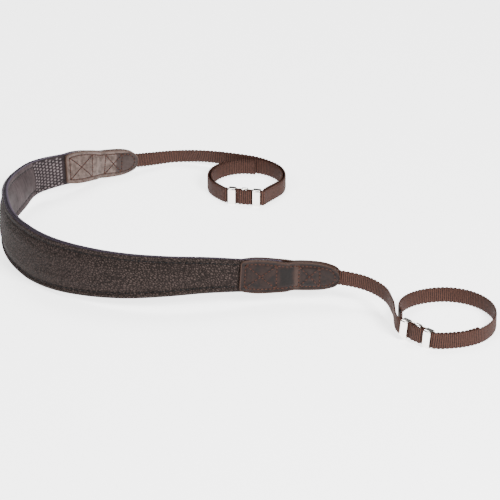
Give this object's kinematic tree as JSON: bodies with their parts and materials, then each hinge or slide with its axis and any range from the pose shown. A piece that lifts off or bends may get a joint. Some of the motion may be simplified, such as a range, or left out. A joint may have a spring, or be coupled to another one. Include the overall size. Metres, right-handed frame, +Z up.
{
  "type": "camera neck strap",
  "caption": "Leather camera neck strap standing on edge: padded tapering neck pad, sewn leather tabs, narrow ribbed webbing through metal slide buckles into lug loops.",
  "frame": {"origin": "on the surface that the strap stands on, under the middle of the box round the whole strap", "axes": "+Z up; +X from the padded middle of the strap towards its two loops, so the neck hollow opens to +X; +Y from the near arm to the far arm"},
  "size_m": [0.3094, 0.2884, 0.0369],
  "materials": {
    "pad_leather": "pebbled, semi-matt dark brown",
    "foam": "matt black closed-cell foam edge",
    "lining": "smooth matt grey-brown lining",
    "grip": "grey-brown lining moulded with rows of raised grip bumps",
    "tab_leather": "smooth burnished brown, with paler cut edges",
    "webbing": "brown ribbed nylon webbing",
    "nickel": "bright nickel plate"
  },
  "bodies": {
    "root": {"pad_outer_leather": "pad_leather", "pad_foam": "foam", "pad_lining": "lining", "near_grip_panel": "grip", "far_grip_panel": "grip", "near_tab_outer": "tab_leather", "near_tab_inner": "tab_leather", "far_tab_outer": "tab_leather", "far_tab_inner": "tab_leather", "near_webbing": "webbing", "far_webbing": "webbing", "near_buckle": "nickel", "far_buckle": "nickel"}
  },
  "joints": []
}
